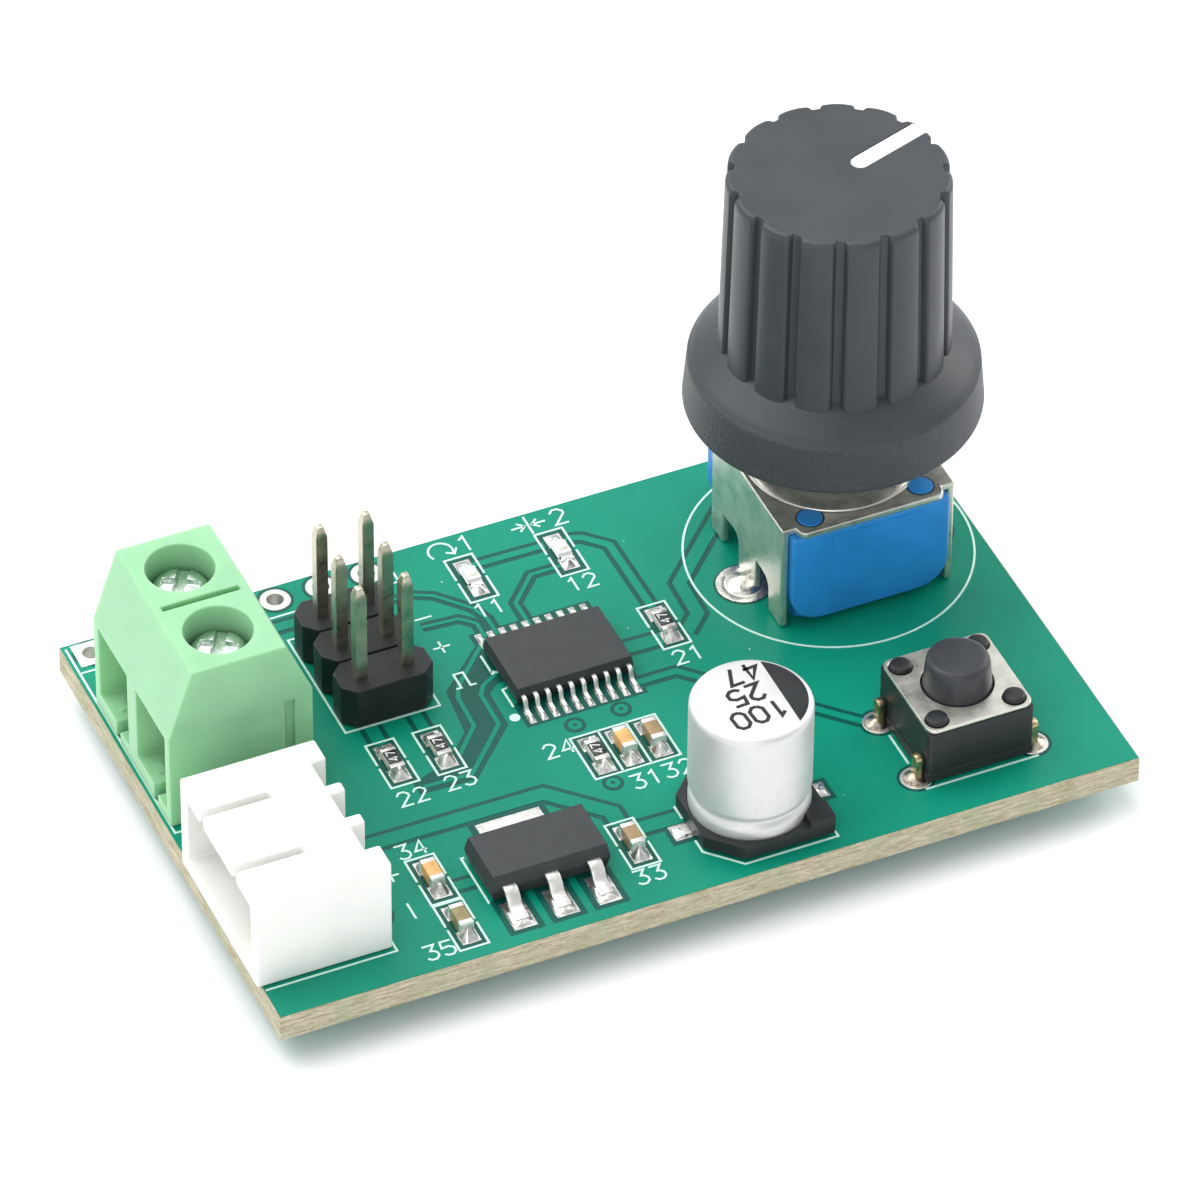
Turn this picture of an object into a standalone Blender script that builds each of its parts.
"""Servo driver board: a small green circuit board with a screw terminal for power, a white
three-way socket, a six-pin servo header, a control potentiometer with a skirted knob, a push
button and surface-mounted parts. Sizes below are in millimetres; objects are made in metres.
Places are given from the board's front left corner, heights from its top face."""

import math

import bmesh
import bpy
from mathutils import Matrix, Vector

MM = 0.001
FIT = 0.04  # gap left between touching pieces

BOARD_LENGTH = 47.0
BOARD_WIDTH = 29.5
BOARD_THICK = 1.6
PIN_PITCH = 2.54
PIN_SIDE = 0.64
TAIL = 3.1  # how far a through-hole pin reaches below the top face
PIN_HOLE = 0.52  # hole radii
LEG_HOLE = 0.55
TERMINAL_HOLE = 0.75
LUG_HOLE = 1.05
ROUND_SIDES = 24

TERMINAL_X = (0.2, 8.0)
TERMINAL_Y = (14.75, 24.85)
TERMINAL_HEIGHT = 9.95
TERMINAL_CELL = 5.05
SCREW_X = 4.0
TERMINAL_PIN_X = 6.45
CELL_HALF = 1.95  # half the clear width of each wire way

SOCKET_X = (-0.25, 7.0)
SOCKET_Y = (2.3, 12.2)
SOCKET_HEIGHT = 5.75
SOCKET_PITCH = 2.5
SOCKET_PIN_Z = 2.95

HEADER_CENTRE = (13.53, 21.5)
HEADER_HEIGHT = 2.5
HEADER_PIN_TOP = 8.4
SPARE_HOLE_START = (1.36, 28.45)
SPARE_HOLES = 7

POT_AXIS = (39.25, 20.65)
POT_FRAME_X = (34.4, 44.1)
POT_FRAME_Y = (15.5, 25.4)
POT_TOP = 6.6
POT_PLATE = 0.4
POT_PIN_Y = 27.65
POT_PIN_PITCH = 2.5
POT_LUG_Y = 19.95
SHAFT_RADIUS = 2.975
ROTOR_NECK = 1.55  # radius of the shaft inside the rotor
SHAFT_TOP = 20.5
SHAFT_FLAT = 1.5

KNOB_BOTTOM = 10.5
KNOB_TOP = 25.15
SKIRT_RADIUS = 7.72
KNOB_LOBES = 15
POINTER_ANGLE = math.radians(18)

SWITCH_CENTRE = (39.25, 5.4)
SWITCH_SIDE = 6.0
SWITCH_LEG_X = 3.3  # legs, counted from the switch's centre
SWITCH_LEG_Y = 2.25

CAPACITOR_CENTRE = (27.25, 4.25)
CAN_RADIUS = 3.15
CAN_TOP = 7.65
CHIP_CENTRE = (22.9, 18.2)
REGULATOR_CENTRE = (15.95, 4.95)

CHIP_LEADS = 10  # on each side
CHIP_PITCH = 0.65
LED_PLACES = ((21.42, 25.95), (26.5, 25.95))
RESISTOR_PLACES = ((21.93, 11.1), (29.05, 18.7), (14.78, 14.63), (12.22, 14.68))
CERAMIC_PLACES = ((23.45, 11.1), (25.05, 11.1), (20.93, 4.45), (10.73, 6.05), (10.75, 2.5))


def place(x, y, z=0.0):
    """A point given from the board's front left corner and top face, in model millimetres."""
    return Vector((x - BOARD_LENGTH / 2, y - BOARD_WIDTH / 2, z + BOARD_THICK))


def clear_scene():
    for obj in list(bpy.data.objects):
        bpy.data.objects.remove(obj, do_unlink=True)


def make_collection(name):
    collection = bpy.data.collections.new(name)
    bpy.context.scene.collection.children.link(collection)
    return collection


def make_material(name, color, roughness, metallic=0.0):
    material = bpy.data.materials.new(name)
    material.use_nodes = True
    shader = material.node_tree.nodes["Principled BSDF"]
    shader.inputs["Base Color"].default_value = (*color, 1.0)
    shader.inputs["Roughness"].default_value = roughness
    shader.inputs["Metallic"].default_value = metallic
    return material


clear_scene()
PARTS = make_collection("servo_driver_board")
CUTTERS = make_collection("cutters")

GREEN_MASK = make_material("green_mask", (0.01, 0.22, 0.12), 0.35)
GREEN_PLASTIC = make_material("green_plastic", (0.24, 0.62, 0.27), 0.5)
WHITE_PLASTIC = make_material("white_plastic", (0.85, 0.85, 0.82), 0.45)
BLACK_PLASTIC = make_material("black_plastic", (0.02, 0.02, 0.022), 0.5)
BLUE_PLASTIC = make_material("blue_plastic", (0.02, 0.17, 0.5), 0.45)
KNOB_PLASTIC = make_material("knob_plastic", (0.045, 0.047, 0.052), 0.45)
POINTER_WHITE = make_material("pointer_white", (0.88, 0.88, 0.88), 0.5)
NICKEL = make_material("nickel", (0.62, 0.6, 0.54), 0.3, 1.0)
TIN = make_material("tin", (0.72, 0.72, 0.7), 0.35, 1.0)
ALUMINIUM = make_material("aluminium", (0.8, 0.8, 0.8), 0.35, 1.0)
COPPER = make_material("copper_alloy", (0.72, 0.5, 0.38), 0.4, 1.0)
CARBON = make_material("carbon_track", (0.03, 0.03, 0.03), 0.6)
LED_WHITE = make_material("led_white", (0.85, 0.83, 0.75), 0.4)
RESISTOR_BLACK = make_material("resistor_black", (0.03, 0.03, 0.03), 0.5)
CERAMIC_TAN = make_material("ceramic_tan", (0.55, 0.33, 0.14), 0.5)


# Shape makers ---------------------------------------------------------------------------------

def add_mesh(name, bm, location, material=None):
    """A finished part when it has a material, otherwise a helper shape for a Boolean."""
    mesh = bpy.data.meshes.new(name)
    bm.to_mesh(mesh)
    bm.free()
    obj = bpy.data.objects.new(name, mesh)
    obj.location = Vector(location) * MM
    if material:
        mesh.materials.append(material)
        PARTS.objects.link(obj)
    else:
        CUTTERS.objects.link(obj)
        obj.hide_render = True
        obj.display_type = "WIRE"
    return obj


def block_into(bm, centre, size):
    made = bmesh.ops.create_cube(bm, size=MM)["verts"]
    bmesh.ops.scale(bm, vec=Vector(size), verts=made)
    bmesh.ops.translate(bm, vec=Vector(centre) * MM, verts=made)


def block(name, centre, size, material=None):
    bm = bmesh.new()
    block_into(bm, (0, 0, 0), size)
    return add_mesh(name, bm, centre, material)


def spans(name, x, y, z, material=None):
    """A block given by its two ends along each axis, in board places."""
    centre = place((x[0] + x[1]) / 2, (y[0] + y[1]) / 2, (z[0] + z[1]) / 2)
    return block(name, centre, (x[1] - x[0], y[1] - y[0], z[1] - z[0]), material)


def rod_into(bm, centre, radius, z, top_radius=None, sides=ROUND_SIDES):
    lift = Matrix.Translation(Vector((centre[0], centre[1], (z[0] + z[1]) / 2)) * MM)
    wide = radius if top_radius is None else top_radius
    bmesh.ops.create_cone(bm, cap_ends=True, segments=sides, radius1=radius * MM,
                          radius2=wide * MM, depth=(z[1] - z[0]) * MM, matrix=lift)


def rod(name, x, y, radius, z, material=None, top_radius=None, sides=ROUND_SIDES):
    bm = bmesh.new()
    rod_into(bm, (0, 0), radius, z, top_radius, sides)
    obj = add_mesh(name, bm, place(x, y), material)
    smooth(obj)
    return obj


def smooth(obj):
    obj.data.shade_smooth()
    obj.data.set_sharp_from_angle(angle=math.radians(35))


def turned(name, x, y, profile, material=None, sides=24):
    """A profile of (radius, height) points, listed from the top down its outer side."""
    bm = bmesh.new()
    points = [bm.verts.new(Vector((r, 0, z)) * MM) for r, z in profile]
    for first, second in zip(points, points[1:]):
        bm.edges.new((first, second))
    if profile[0][0] > 0:
        bm.edges.new((points[-1], points[0]))
    obj = add_mesh(name, bm, place(x, y), material)
    screw = obj.modifiers.new("turn", "SCREW")
    screw.steps = screw.render_steps = sides
    screw.use_merge_vertices = True
    screw.merge_threshold = 1e-6
    screw.use_smooth_shade = True
    return obj


def outline(name, points, thickness, location, rotation=(0, 0, 0), material=None):
    """A flat outline given thickness, made from a filled curve and kept as a mesh."""
    curve = bpy.data.curves.new(name, "CURVE")
    curve.dimensions = "2D"
    curve.fill_mode = "BOTH"
    curve.extrude = thickness / 2 * MM
    spline = curve.splines.new("POLY")
    spline.points.add(len(points) - 1)
    for point, (x, y) in zip(spline.points, points):
        point.co = (x * MM, y * MM, 0, 1)
    spline.use_cyclic_u = True
    guide = bpy.data.objects.new(name + "_outline", curve)
    CUTTERS.objects.link(guide)
    bpy.context.view_layer.update()
    graph = bpy.context.evaluated_depsgraph_get()
    mesh = bpy.data.meshes.new_from_object(guide.evaluated_get(graph))
    bpy.data.objects.remove(guide)
    bm = bmesh.new()
    bm.from_mesh(mesh)
    bpy.data.meshes.remove(mesh)
    bmesh.ops.remove_doubles(bm, verts=bm.verts, dist=1e-6)
    bmesh.ops.recalc_face_normals(bm, faces=bm.faces)
    obj = add_mesh(name, bm, location, material)
    obj.rotation_euler = rotation
    return obj


def combine(target, helper, operation):
    boolean = target.modifiers.new(helper.name, "BOOLEAN")
    boolean.operation = operation
    boolean.solver = "EXACT"
    boolean.object = helper


def cut(target, *helpers):
    for helper in helpers:
        combine(target, helper, "DIFFERENCE")


def fuse(target, *helpers):
    for helper in helpers:
        combine(target, helper, "UNION")


def bevel(obj, width, segments=1):
    modifier = obj.modifiers.new("edges", "BEVEL")
    modifier.width = width * MM
    modifier.segments = segments
    modifier.limit_method = "ANGLE"
    modifier.angle_limit = math.radians(40)


# Pin places -----------------------------------------------------------------------------------

def header_pin_places():
    x, y = HEADER_CENTRE
    return [(x + (column - 0.5) * PIN_PITCH, y + row * PIN_PITCH)
            for row in (-1, 0, 1) for column in (0, 1)]


def socket_pin_places():
    middle = sum(SOCKET_Y) / 2
    return [(7.1, middle + step * SOCKET_PITCH) for step in (-1, 0, 1)]


def terminal_cell_centres():
    middle = sum(TERMINAL_Y) / 2
    return [middle - TERMINAL_CELL / 2, middle + TERMINAL_CELL / 2]


def pot_pin_places():
    return [(POT_AXIS[0] + step * POT_PIN_PITCH, POT_PIN_Y) for step in (-1, 0, 1)]


def switch_leg_places():
    x, y = SWITCH_CENTRE
    return [(x + side * SWITCH_LEG_X, y + end * SWITCH_LEG_Y)
            for side in (-1, 1) for end in (-1, 1)]


# Sub-parts ------------------------------------------------------------------------------------

def make_board():
    board = spans("circuit_board", (0, BOARD_LENGTH), (0, BOARD_WIDTH), (-BOARD_THICK, 0), GREEN_MASK)
    spare = [(SPARE_HOLE_START[0] + step * PIN_PITCH, SPARE_HOLE_START[1])
             for step in range(SPARE_HOLES)]
    holes = [(point, PIN_HOLE) for point in header_pin_places() + socket_pin_places() + spare]
    holes += [(point, LEG_HOLE) for point in pot_pin_places() + switch_leg_places()]
    holes += [((TERMINAL_PIN_X, y), TERMINAL_HOLE) for y in terminal_cell_centres()]
    holes += [((x, POT_LUG_Y), LUG_HOLE) for x in (POT_FRAME_X[0] + 0.1, POT_FRAME_X[1] - 0.1)]
    bm = bmesh.new()
    for (x, y), radius in holes:
        rod_into(bm, place(x, y).xy, radius, (-1, BOARD_THICK + 1), sides=12)
    cut(board, add_mesh("board_holes", bm, (0, 0, 0)))


def make_terminal():
    """Screw terminal for two wires: a housing with a screw, a cage and a pin in each cell."""
    front, back = TERMINAL_Y
    left, right = TERMINAL_X
    side = [(left, FIT), (right, FIT), (right, 6.65), (6.6, TERMINAL_HEIGHT),
            (1.55, TERMINAL_HEIGHT), (left, 5.9)]
    housing = outline("terminal_housing", side, back - front, place(0, (front + back) / 2),
                      (math.pi / 2, 0, 0), GREEN_PLASTIC)
    for number, y in enumerate(terminal_cell_centres(), 1):
        cell = (y - CELL_HALF, y + CELL_HALF)
        wire_way = spans("wire_way", (left - 1, 2.5), cell, (1.05, 5.6))
        chamber = spans("clamp_chamber", (1.75, 6.95), cell, (1.05, 7.75))
        screw_hole = rod("screw_hole", SCREW_X, y, 1.77, (7.0, TERMINAL_HEIGHT + 1))
        pin_slot = spans("pin_slot", (5.9, 6.95), (y - 0.55, y + 0.55), (-1, 2))
        cut(housing, wire_way, chamber, screw_hole, pin_slot)
        make_terminal_screw(number, y)
        make_terminal_clamp(number, y)
        make_terminal_pin(number, y)
    middle = (front + back) / 2
    slot = (middle - 0.15, middle + 0.15)
    cut(housing, spans("divider_slot", (2.0, 6.2), slot, (8.9, TERMINAL_HEIGHT + 1)))


def make_terminal_screw(number, y):
    """Slotted screw: a wide head over a thread that reaches down into the cage."""
    top, head, thread, tip = 9.05, 1.58, 1.2, 4.75
    profile = [(0, top), (0.7, top - 0.05), (1.25, top - 0.3), (head, top - 0.75), (head, 7.8),
               (thread, 7.7), (thread, tip + 0.2), (thread - 0.2, tip), (0, tip)]
    screw = turned(f"terminal_screw_{number}", SCREW_X, y, profile, NICKEL)
    bm = bmesh.new()
    block_into(bm, (0, 0, 9.0), (0.6, 4, 1.1))
    slot = add_mesh("screw_slot", bm, place(SCREW_X, y))
    slot.rotation_euler = (0, 0, math.radians(-32))
    cut(screw, slot)


def make_terminal_clamp(number, y):
    """The cage that the screw lifts, open at both ends for the wire and the pin's tongue."""
    left, right, half, wall = 2.1, 5.9, 1.75, 0.5
    clamp = spans(f"terminal_clamp_{number}", (left, right), (y - half, y + half), (1.75, 6.1), COPPER)
    inside = (y - half + wall, y + half - wall)
    mouth = spans("clamp_mouth", (left - 1, right + 1), inside, (2.3, 5.05))
    thread = rod("clamp_thread", SCREW_X, y, 1.25, (4.5, 7.0))
    cut(clamp, mouth, thread)


def make_terminal_pin(number, y):
    """A flat tongue inside the cage, a strip down the back wall and a tail through the board."""
    tongue = spans(f"terminal_pin_{number}", (2.2, 6.65), (y - 1.1, y + 1.1), (4.2, 4.7), TIN)
    strip = spans("pin_strip", (6.2, 6.65), (y - 1.0, y + 1.0), (1.2, 4.5))
    tail = spans("pin_tail", (6.0, 6.85), (y - 0.45, y + 0.45), (-TAIL, 1.6))
    fuse(tongue, strip, tail)


def make_socket():
    """Right-angle socket, its mouth over the board's left edge and three notches behind."""
    left, right = SOCKET_X
    front, back = SOCKET_Y
    housing = spans("socket_housing", SOCKET_X, SOCKET_Y, (FIT, SOCKET_HEIGHT), WHITE_PLASTIC)
    wall = 0.8
    cavity = spans("plug_way", (left - 1, 5.0), (front + wall, back - wall),
                   (0.85, SOCKET_HEIGHT - 0.85))
    middle = (front + back) / 2
    slits = [spans("key_slit", (left - 1, 3.5), (y - 0.25, y + 0.25), (4, SOCKET_HEIGHT + 1))
             for y in (middle - 2.15, middle + 2.15)]
    cut(housing, cavity, *slits)
    for number, (x, y) in enumerate(socket_pin_places(), 1):
        notch = spans("rear_notch", (6.2, right + 1), (y - 0.9, y + 0.9), (-1, SOCKET_HEIGHT + 1))
        half = PIN_SIDE / 2
        loose = half + FIT
        bore = spans("pin_bore", (4, 7), (y - loose, y + loose),
                     (SOCKET_PIN_Z - loose, SOCKET_PIN_Z + loose))
        cut(housing, notch, bore)
        pin = spans(f"socket_pin_{number}", (0.7, x + half), (y - half, y + half),
                    (SOCKET_PIN_Z - half, SOCKET_PIN_Z + half), TIN)
        fuse(pin, spans("pin_leg", (x - half, x + half), (y - half, y + half),
                        (-TAIL, SOCKET_PIN_Z)))


def make_header():
    """Two pins by three rows: each row is a bar with cut corners, joined by a narrower web."""
    x, y = HEADER_CENTRE
    half, reach, corner = PIN_PITCH / 2 - 0.05, PIN_PITCH, 0.65
    bar = [(-reach + corner, -half), (reach - corner, -half), (reach, -half + corner),
           (reach, half - corner), (reach - corner, half), (-reach + corner, half),
           (-reach, half - corner), (-reach, -half + corner)]
    middle = place(x, y, (FIT + HEADER_HEIGHT) / 2)
    height = HEADER_HEIGHT - FIT
    base = outline("header_base", bar, height, middle, (0, 0, 0), BLACK_PLASTIC)
    for side in (-1, 1):
        fuse(base, outline("header_row", bar, height, middle + Vector((0, side * PIN_PITCH, 0))))
        edge = y + side * PIN_PITCH / 2
        fuse(base, spans("header_web", (x - 1.7, x + 1.7), (edge - 0.2, edge + 0.2), (FIT, 2.2)))
    for number, (pin_x, pin_y) in enumerate(header_pin_places(), 1):
        cut(base, block("pin_bore", place(pin_x, pin_y, 1), (0.7, 0.7, 6)))
        half = PIN_SIDE / 2
        pin = spans(f"header_pin_{number}", (pin_x - half, pin_x + half),
                    (pin_y - half, pin_y + half), (-TAIL, HEADER_PIN_TOP), TIN)
        bevel(pin, 0.12)


def make_chip():
    """Twenty-lead driver chip: moulded body and gull-wing leads as one soldered piece."""
    x, y = CHIP_CENTRE
    chip = block("driver_chip", place(x, y, 0.65), (6.5, 4.4, 1.0), BLACK_PLASTIC)
    bm = bmesh.new()
    for side in (-1, 1):
        for lead in range(CHIP_LEADS):
            across = (lead - (CHIP_LEADS - 1) / 2) * CHIP_PITCH
            block_into(bm, (across, side * 2.36, 0.62), (0.24, 0.52, 0.16))
            block_into(bm, (across, side * 2.62, 0.36), (0.22, 0.14, 0.6))
            block_into(bm, (across, side * 2.9, 0.12), (0.24, 0.65, 0.15))
    leads = add_mesh("chip_leads", bm, place(x, y))
    combine(chip, leads, "UNION")
    chip.modifiers[-1].use_self = True


def make_regulator():
    """Three-lead voltage regulator with a wide tab behind."""
    x, y = REGULATOR_CENTRE
    body = block("voltage_regulator", place(x, y, 0.9), (6.5, 3.5, 1.6), BLACK_PLASTIC)
    lead_pitch, lead_half, thick = 2.3, 0.36, (FIT, 0.34)
    fuse(body, spans("tab", (x - 1.5, x + 1.5), (y + 1.5, y + 3.5), thick))
    for step in (-1, 0, 1):
        across = (x + step * lead_pitch - lead_half, x + step * lead_pitch + lead_half)
        fuse(body, spans("lead", across, (y - 3.5, y - 1.6), thick))


def make_capacitor():
    """Aluminium can on a square base whose two corners at the left are cut off."""
    x, y = CAPACITOR_CENTRE
    half, corner = 3.3, 1.6
    square = [(half, -half), (half, half), (corner - half, half), (-half, half - corner),
              (-half, corner - half), (corner - half, -half)]
    base = outline("capacitor_base", square, 1.1, place(x, y, 0.75), (0, 0, 0), BLACK_PLASTIC)
    cut(base, rod("can_seat", x, y, CAN_RADIUS + FIT, (0.6, 3.0), sides=32))
    neck, lip, foot = 2.85, 3.1, 0.65
    profile = [(0, CAN_TOP), (2.8, CAN_TOP), (3.08, CAN_TOP - 0.1), (CAN_RADIUS, CAN_TOP - 0.4),
               (CAN_RADIUS, 1.9), (neck, 1.65), (neck, 1.4), (lip, 1.2), (lip, 0.8),
               (lip - 0.2, foot), (0, foot)]
    turned("capacitor_can", x, y, profile, ALUMINIUM, sides=32)
    for number, side in enumerate((-1, 1), 1):
        reach = sorted((x + side * 0.9, x + side * 3.95))
        spans(f"capacitor_terminal_{number}", reach, (y - 0.35, y + 0.35), (FIT, 0.16), TIN)


def make_pot_frame():
    """Folded metal cover: a top plate with a raised ring, two side walls, feet and two lugs."""
    (left, right), (front, back) = POT_FRAME_X, POT_FRAME_Y
    under = POT_TOP - POT_PLATE
    plate = [(left, front + 0.6), (left + 0.5, front + 0.5), (left + 0.7, front + 0.15),
             (left + 1.1, front), (right - 1.1, front), (right - 0.7, front + 0.15),
             (right - 0.5, front + 0.5), (right, front + 0.6), (right, back), (left, back)]
    centre = place(0, 0, POT_TOP - POT_PLATE / 2)
    frame = outline("pot_frame", plate, POT_PLATE, centre, (0, 0, 0), NICKEL)
    x, y = POT_AXIS
    fuse(frame, rod("raised_ring", x, y, 4.5, (under + 0.1, POT_TOP + 0.25), top_radius=4.1))
    fuse(frame, rod("bushing", x, y, 3.5, (under + 0.1, 8.0)))
    for wall in ((left, left + POT_PLATE), (right - POT_PLATE, right)):
        middle = place((wall[0] + wall[1]) / 2, 0, 0)
        side = pot_wall_outline(POT_TOP - 0.1)
        fuse(frame, outline("side_wall", side, POT_PLATE, middle, (math.pi / 2, 0, math.pi / 2)))
    cut(frame, rod("shaft_hole", x, y, SHAFT_RADIUS + 0.08, (2, 12), sides=32))
    for rivet_x, rivet_y in pot_rivet_places():
        cut(frame, rod("rivet_hole", rivet_x, rivet_y, 0.74, (5, 8), sides=16))


def pot_wall_outline(top):
    """A side wall seen from the side: a foot, a notch, the long lug, a second notch and a foot."""
    front, back = POT_FRAME_Y[0] + 0.5, POT_FRAME_Y[1] - 0.7
    notch = 2.1
    return [(front, 0.1), (17.6, 0.1), (17.65, 1.6), (18.1, notch), (19.3, notch), (19.3, 0.25),
            (19.4, -TAIL), (20.5, -TAIL), (20.8, -0.1), (21.3, 0.25), (21.4, 1.7), (21.8, notch),
            (23.25, notch), (23.25, 0.1), (back, 0.1), (back, top), (front, top)]


def pot_rivet_places():
    return [(POT_AXIS[0] + side * 3.1, y) for y in (16.55, 24.4) for side in (-1, 1)]


def make_pot_body():
    """Blue moulded cup that holds the track, the wiper and the rotor, with a terminal shelf."""
    x, y = POT_AXIS
    wide = (POT_FRAME_X[0] + POT_PLATE + FIT, POT_FRAME_X[1] - POT_PLATE - FIT)
    top = POT_TOP - POT_PLATE - FIT
    front, back, low, curve = POT_FRAME_Y[0] + 0.1, 26.3, 0.4, 1.2
    shape = [(wide[0], top), (wide[0], low + curve), (wide[0] + 0.35, low + 0.35),
             (wide[0] + curve, low), (wide[1] - curve, low), (wide[1] - 0.35, low + 0.35),
             (wide[1], low + curve), (wide[1], top)]
    body = outline("pot_body", shape, back - front, place(0, (front + back) / 2),
                   (math.pi / 2, 0, 0), BLUE_PLASTIC)
    cut(body, rod("rotor_well", x, y, 4.05, (2.6, 8), sides=32))
    for foot_x in (x - 3.4, x + 3.4):
        fuse(body, rod("foot", foot_x, 17.0, 0.5, (FIT, 1.0), sides=12))
    for rivet_x, rivet_y in pot_rivet_places():
        fuse(body, rod("rivet", rivet_x, rivet_y, 0.67, (5.5, POT_TOP + 0.05), sides=16))
    for number, (pin_x, pin_y) in enumerate(pot_pin_places(), 1):
        across = (pin_x - 0.4, pin_x + 0.4)
        pin = spans(f"pot_pin_{number}", across, (26.35, pin_y + 0.15), (2.6, 2.9), TIN)
        leg = spans("pin_leg", (pin_x - 0.35, pin_x + 0.35), (pin_y - 0.15, pin_y + 0.15), (-TAIL, 2.8))
        fuse(pin, leg)


def make_pot_insides():
    """The carbon track is fixed; the wiper, rotor and shaft turn with the knob."""
    x, y = POT_AXIS
    turned("pot_track", x, y, ring_profile(1.8, 3.95, 2.65, 2.9), CARBON)
    turned("pot_wiper", x, y, ring_profile(1.9, 3.6, 2.98, 3.15), NICKEL)
    turned("pot_rotor", x, y, ring_profile(ROTOR_NECK + 0.07, 3.9, 3.2, 5.7), BLACK_PLASTIC)
    shoulder, foot = 5.75, 3.25
    profile = [(0, SHAFT_TOP), (2.6, SHAFT_TOP), (SHAFT_RADIUS, SHAFT_TOP - 0.4),
               (SHAFT_RADIUS, shoulder), (ROTOR_NECK, shoulder), (ROTOR_NECK, foot), (0, foot)]
    shaft = turned("pot_shaft", x, y, profile, ALUMINIUM)
    cut(shaft, spans("shaft_flat", (x + SHAFT_FLAT, x + 5), (y - 5, y + 5), (11.5, 30)))


def ring_profile(inner, outer, bottom, top):
    return [(inner, top), (outer, top), (outer, bottom), (inner, bottom)]


def fluted_ring(bm, radius, z):
    """One level of the knob's grip: flat lobes with a narrow groove between each pair."""
    depths = ((0.0, 0.38), (0.13, 0.05), (0.35, 0.0), (0.65, 0.0), (0.87, 0.05))
    ring = []
    for lobe in range(KNOB_LOBES):
        for share, depth in depths:
            angle = (lobe + share - 0.5) * math.tau / KNOB_LOBES + POINTER_ANGLE
            reach = (radius - depth) * MM
            ring.append(bm.verts.new((reach * math.cos(angle), reach * math.sin(angle), z * MM)))
    return ring


def make_knob():
    """A fluted grip on a hollow skirt, with a bore for the shaft and a groove for the pointer."""
    x, y = POT_AXIS
    skirt = [(0, 14.8), (5.6, 14.8), (5.9, 14.5), (7.35, 13.45), (7.5, 13.3),
             (SKIRT_RADIUS, 10.6), (7.62, KNOB_BOTTOM), (6.9, KNOB_BOTTOM), (6.8, 12.4),
             (4.3, 12.4), (4.2, 10.9), (0, 10.9)]
    knob = turned("knob", x, y, skirt, KNOB_PLASTIC, sides=48)
    bm = bmesh.new()
    levels = [fluted_ring(bm, radius, z)
              for radius, z in ((5.95, 14.0), (5.68, KNOB_TOP - 0.15), (5.5, KNOB_TOP))]
    for lower, upper in zip(levels, levels[1:]):
        count = len(lower)
        for index in range(count):
            after = (index + 1) % count
            bm.faces.new((lower[index], lower[after], upper[after], upper[index]))
    bm.faces.new(levels[-1])
    bm.faces.new(reversed(levels[0]))
    fuse(knob, add_mesh("grip", bm, place(x, y)))
    bore = rod("shaft_bore", x, y, SHAFT_RADIUS + FIT, (9, SHAFT_TOP + FIT), sides=32)
    cut(bore, spans("bore_flat", (x + SHAFT_FLAT + FIT, x + 5), (y - 5, y + 5), (11.7, 30)))
    cut(knob, bore, pointer_bar("pointer_groove", FIT, KNOB_TOP + 1))
    pointer_bar("knob_pointer", 0, KNOB_TOP - 0.02, POINTER_WHITE)


def pointer_bar(name, margin, top, material=None):
    """The index line, from near the middle of the knob's face out over its rim."""
    start, end = 0.95 - margin, 5.4 + margin
    width, low = 0.85 + 2 * margin, 24.65 - margin
    bm = bmesh.new()
    block_into(bm, ((start + end) / 2, 0, (low + top) / 2), (end - start, width, top - low))
    obj = add_mesh(name, bm, place(*POT_AXIS), material)
    obj.rotation_euler = (0, 0, POINTER_ANGLE)
    return obj


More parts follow.
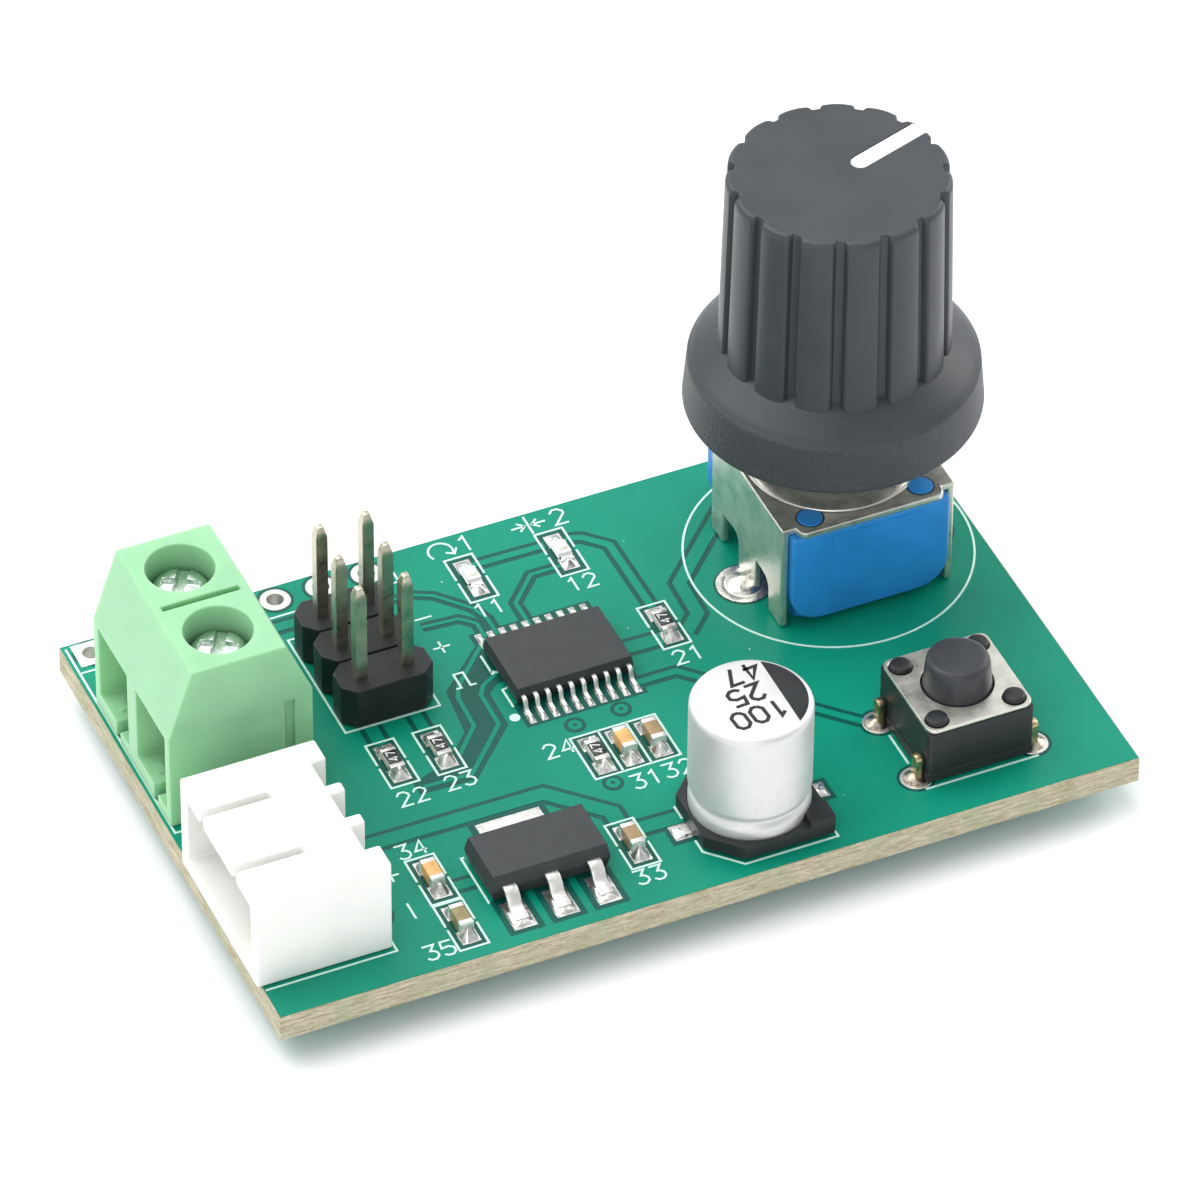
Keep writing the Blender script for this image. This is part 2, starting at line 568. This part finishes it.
def make_switch():
    """Six-millimetre push button: base, snap dome, plunger and a riveted cover plate."""
    x, y = SWITCH_CENTRE
    half = SWITCH_SIDE / 2
    base = block("switch_base", place(x, y, 1.7), (SWITCH_SIDE, SWITCH_SIDE, 3.1), BLACK_PLASTIC)
    cut(base, rod("dome_well", x, y, 2.3, (1.2, 5), sides=32))
    cover = block("switch_cover", place(x, y, 3.4), (5.85, 5.85, 0.2), NICKEL)
    cut(cover, rod("button_hole", x, y, 1.87, (2, 5), sides=32))
    rivet_reach = 2.15
    for side in (-1, 1):
        for end in (-1, 1):
            rivet_x, rivet_y = x + side * rivet_reach, y + end * rivet_reach
            cut(cover, rod("rivet_hole", rivet_x, rivet_y, 0.62, (2, 5), sides=12))
            fuse(base, rod("rivet", rivet_x, rivet_y, 0.55, (3.0, 3.8), sides=12))
    dome = [(0, 1.95), (0.9, 1.85), (1.6, 1.62), (2.1, 1.3), (2.1, 1.22), (1.5, 1.5),
            (0.9, 1.72), (0, 1.82)]
    turned("switch_dome", x, y, dome, TIN)
    plunger = [(0, 5.3), (1.4, 5.3), (1.62, 5.1), (1.8, 3.25), (2.05, 3.2), (2.05, 2.5),
               (0.7, 2.4), (0.6, 2.0), (0, 2.0)]
    turned("switch_button", x, y, plunger, BLACK_PLASTIC)
    for number, (leg_x, leg_y) in enumerate(switch_leg_places(), 1):
        away = 1 if leg_x > x else -1
        edge = x + away * (half + FIT)
        leg = spans(f"switch_leg_{number}", sorted((edge, leg_x + away * 0.12)),
                    (leg_y - 0.35, leg_y + 0.35), (-TAIL, 1.6), TIN)
        bevel(leg, 0.05)


def make_small_parts():
    """Two-ended parts soldered flat on the board, all lying front to back."""
    for number, (x, y) in enumerate(LED_PLACES, 1):
        body = block(f"led_{number}", place(x, y, 0.24), (0.8, 1.6, 0.4), LED_WHITE)
        fuse(body, rod("lens", x, y, 0.38, (0.3, 0.62), top_radius=0.28, sides=16))
    for number, (x, y) in enumerate(RESISTOR_PLACES, 1):
        block(f"resistor_{number}", place(x, y, 0.27), (0.82, 1.6, 0.46), RESISTOR_BLACK)
    for number, (x, y) in enumerate(CERAMIC_PLACES, 1):
        body = block(f"ceramic_capacitor_{number}", place(x, y, 0.44), (0.8, 1.6, 0.8), CERAMIC_TAN)
        bevel(body, 0.06)


make_board()
make_terminal()
make_socket()
make_header()
make_chip()
make_regulator()
make_capacitor()
make_pot_frame()
make_pot_body()
make_pot_insides()
make_knob()
make_switch()
make_small_parts()
